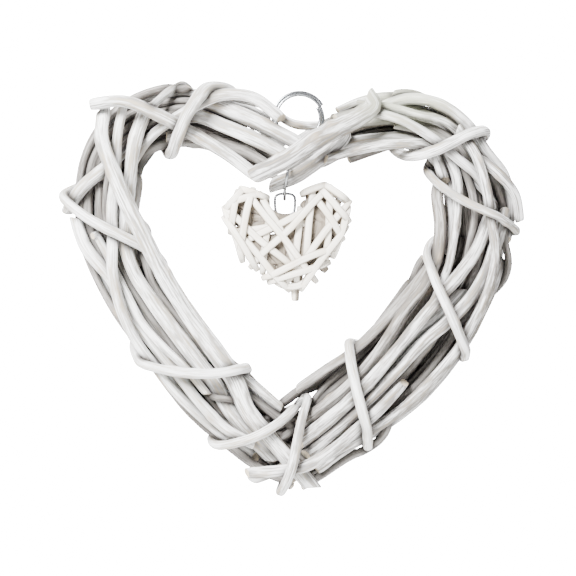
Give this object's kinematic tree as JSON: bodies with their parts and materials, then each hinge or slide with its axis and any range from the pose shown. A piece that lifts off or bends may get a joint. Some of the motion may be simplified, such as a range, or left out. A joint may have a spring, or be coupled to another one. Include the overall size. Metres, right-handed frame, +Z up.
{
  "type": "wicker heart wreath",
  "caption": "White-washed heart-shaped wreath of bound willow rods that hangs from a split ring, with a little woven heart on a wire hook in its opening.",
  "frame": {"origin": "the inner top of the hanging ring, where the part bears on what holds it", "axes": "+Z up as it hangs, +X to the right seen from the front, -Y towards the viewer"},
  "size_m": [0.238, 0.051, 0.212],
  "materials": {
    "white_washed_willow": "white-washed peeled willow, matt, with grey streaks",
    "cream_strip": "peeled flat strip, cream, satin",
    "bright_wire": "bright plated steel wire"
  },
  "bodies": {
    "root": {"left_front_rod_1": "white_washed_willow", "left_front_rod_2": "white_washed_willow", "left_front_rod_3": "white_washed_willow", "left_front_rod_4": "white_washed_willow", "left_front_rod_5": "white_washed_willow", "left_front_rod_6": "white_washed_willow", "left_front_rod_7": "white_washed_willow", "left_front_rod_8": "white_washed_willow", "left_front_rod_9": "white_washed_willow", "left_front_rod_10": "white_washed_willow", "left_inner_rod_1": "white_washed_willow", "left_inner_rod_2": "white_washed_willow", "left_outer_rod": "white_washed_willow", "left_back_rod_1": "white_washed_willow", "left_back_rod_2": "white_washed_willow", "left_back_rod_3": "white_washed_willow", "left_core_rod": "white_washed_willow", "ring_rod": "white_washed_willow", "left_binder_1": "white_washed_willow", "left_binder_2": "white_washed_willow", "left_binder_3": "white_washed_willow", "left_binder_4": "white_washed_willow", "tip_binder_1": "white_washed_willow", "tip_binder_2": "white_washed_willow", "right_front_rod_1": "white_washed_willow", "right_front_rod_2": "white_washed_willow", "right_front_rod_3": "white_washed_willow", "right_front_rod_4": "white_washed_willow", "right_front_rod_5": "white_washed_willow", "right_front_rod_6": "white_washed_willow", "right_front_rod_7": "white_washed_willow", "right_front_rod_8": "white_washed_willow", "right_front_rod_9": "white_washed_willow", "right_front_rod_10": "white_washed_willow", "right_front_rod_11": "white_washed_willow", "right_front_rod_12": "white_washed_willow", "right_front_rod_13": "white_washed_willow", "right_front_rod_14": "white_washed_willow", "right_front_rod_15": "white_washed_willow", "right_front_rod_16": "white_washed_willow", "right_front_rod_17": "white_washed_willow", "right_inner_rod": "white_washed_willow", "right_outer_rod_1": "white_washed_willow", "right_outer_rod_2": "white_washed_willow", "right_back_rod_1": "white_washed_willow", "right_back_rod_2": "white_washed_willow", "right_back_rod_3": "white_washed_willow", "right_back_rod_4": "white_washed_willow", "right_core_rod": "white_washed_willow", "right_binder_1": "white_washed_willow", "right_binder_2": "white_washed_willow", "right_binder_3": "white_washed_willow", "right_binder_4": "white_washed_willow", "hanging_ring": "bright_wire", "pendant_hook": "bright_wire", "pendant_loop": "bright_wire", "pendant_front": "cream_strip", "pendant_back": "cream_strip"}
  },
  "joints": []
}
